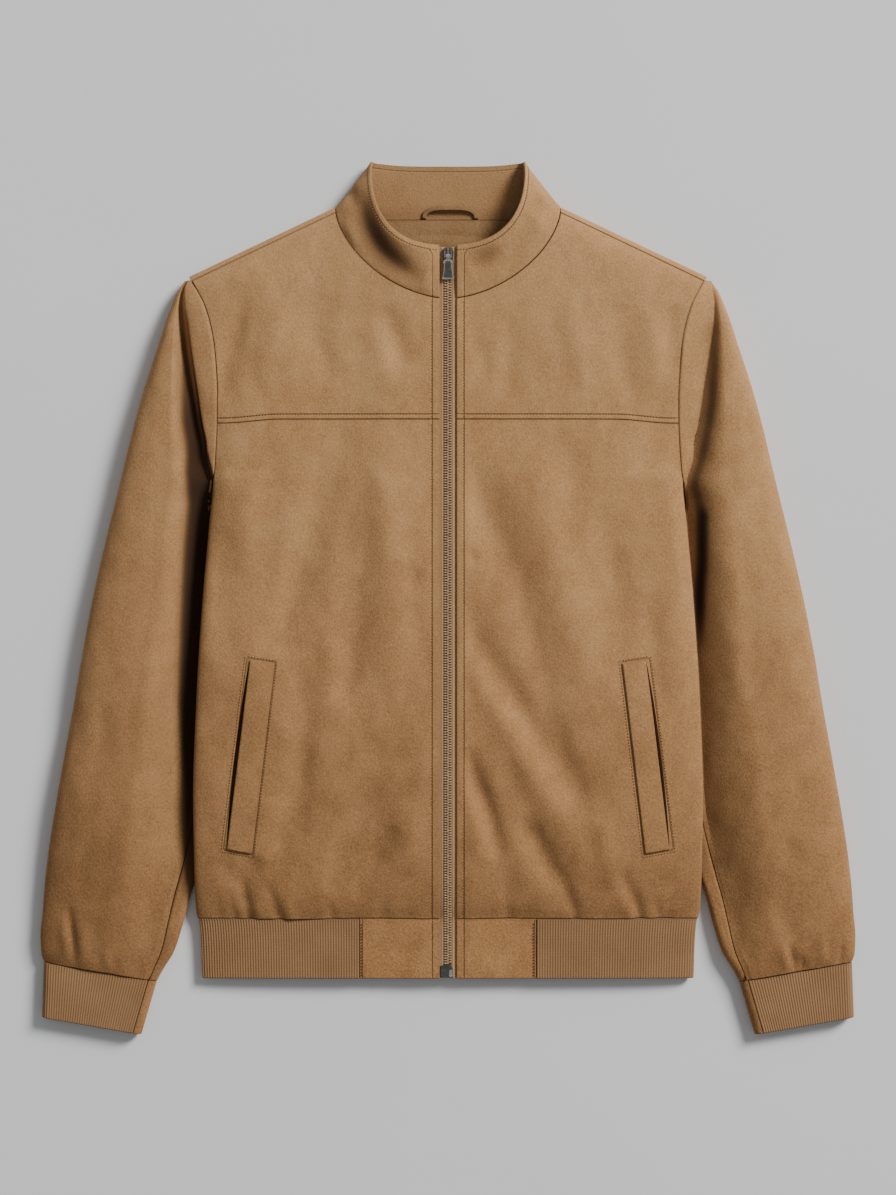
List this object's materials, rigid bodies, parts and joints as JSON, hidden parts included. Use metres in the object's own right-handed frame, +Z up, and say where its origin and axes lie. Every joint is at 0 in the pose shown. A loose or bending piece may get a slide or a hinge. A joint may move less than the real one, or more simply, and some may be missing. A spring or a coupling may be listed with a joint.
{
  "type": "suede jacket",
  "caption": "Zip-front suede jacket laid flat, with a stand collar, chest seam, slanted welt pockets, and rib-knit hem and cuffs. The zip's pull tab swings.",
  "frame": {"origin": "on the floor under the middle of the laid-out jacket's bounding box", "axes": "+Z up, away from the surface it lies on; +Y towards the collar; +X towards the wearer's left sleeve"},
  "size_m": [0.7352, 0.7877, 0.0316],
  "materials": {
    "suede": "camel suede, matt, with a short brushed nap",
    "suede_facing": "camel suede facing and hanger loop inside the neck, matt",
    "rib_knit": "fine vertical rib knit, matt",
    "zip_tape": "woven zip tape",
    "zip_teeth": "dark antiqued metal teeth",
    "zip_metal": "gunmetal with bright edges"
  },
  "bodies": {
    "jacket": {"back": "suede", "collar": "suede", "cuff_rib_left": "rib_knit", "cuff_rib_right": "rib_knit", "cuff_strip_left": "suede", "cuff_strip_right": "suede", "front_left": "suede", "front_right": "suede", "hanger_loop": "suede_facing", "hem_rib": "rib_knit", "hem_tab_left": "suede", "hem_tab_right": "suede", "neck_facing": "suede_facing", "pocket_welt_left": "suede", "pocket_welt_right": "suede", "sleeve_left": "suede", "sleeve_right": "suede", "yoke_left": "suede", "yoke_right": "suede", "zip_box": "zip_metal", "zip_chain": "zip_teeth", "zip_slider": "zip_metal", "zip_tape_left": "zip_tape", "zip_tape_right": "zip_tape"},
    "pull": {"zip_pull": "zip_metal"}
  },
  "joints": [
    {"name": "pull_tab", "type": "hinge", "parent": "jacket", "child": "pull", "pos_m": [0, 0.3056, 0.02966], "axis": [-1, 0, 0], "range_deg": [0, 170]}
  ]
}
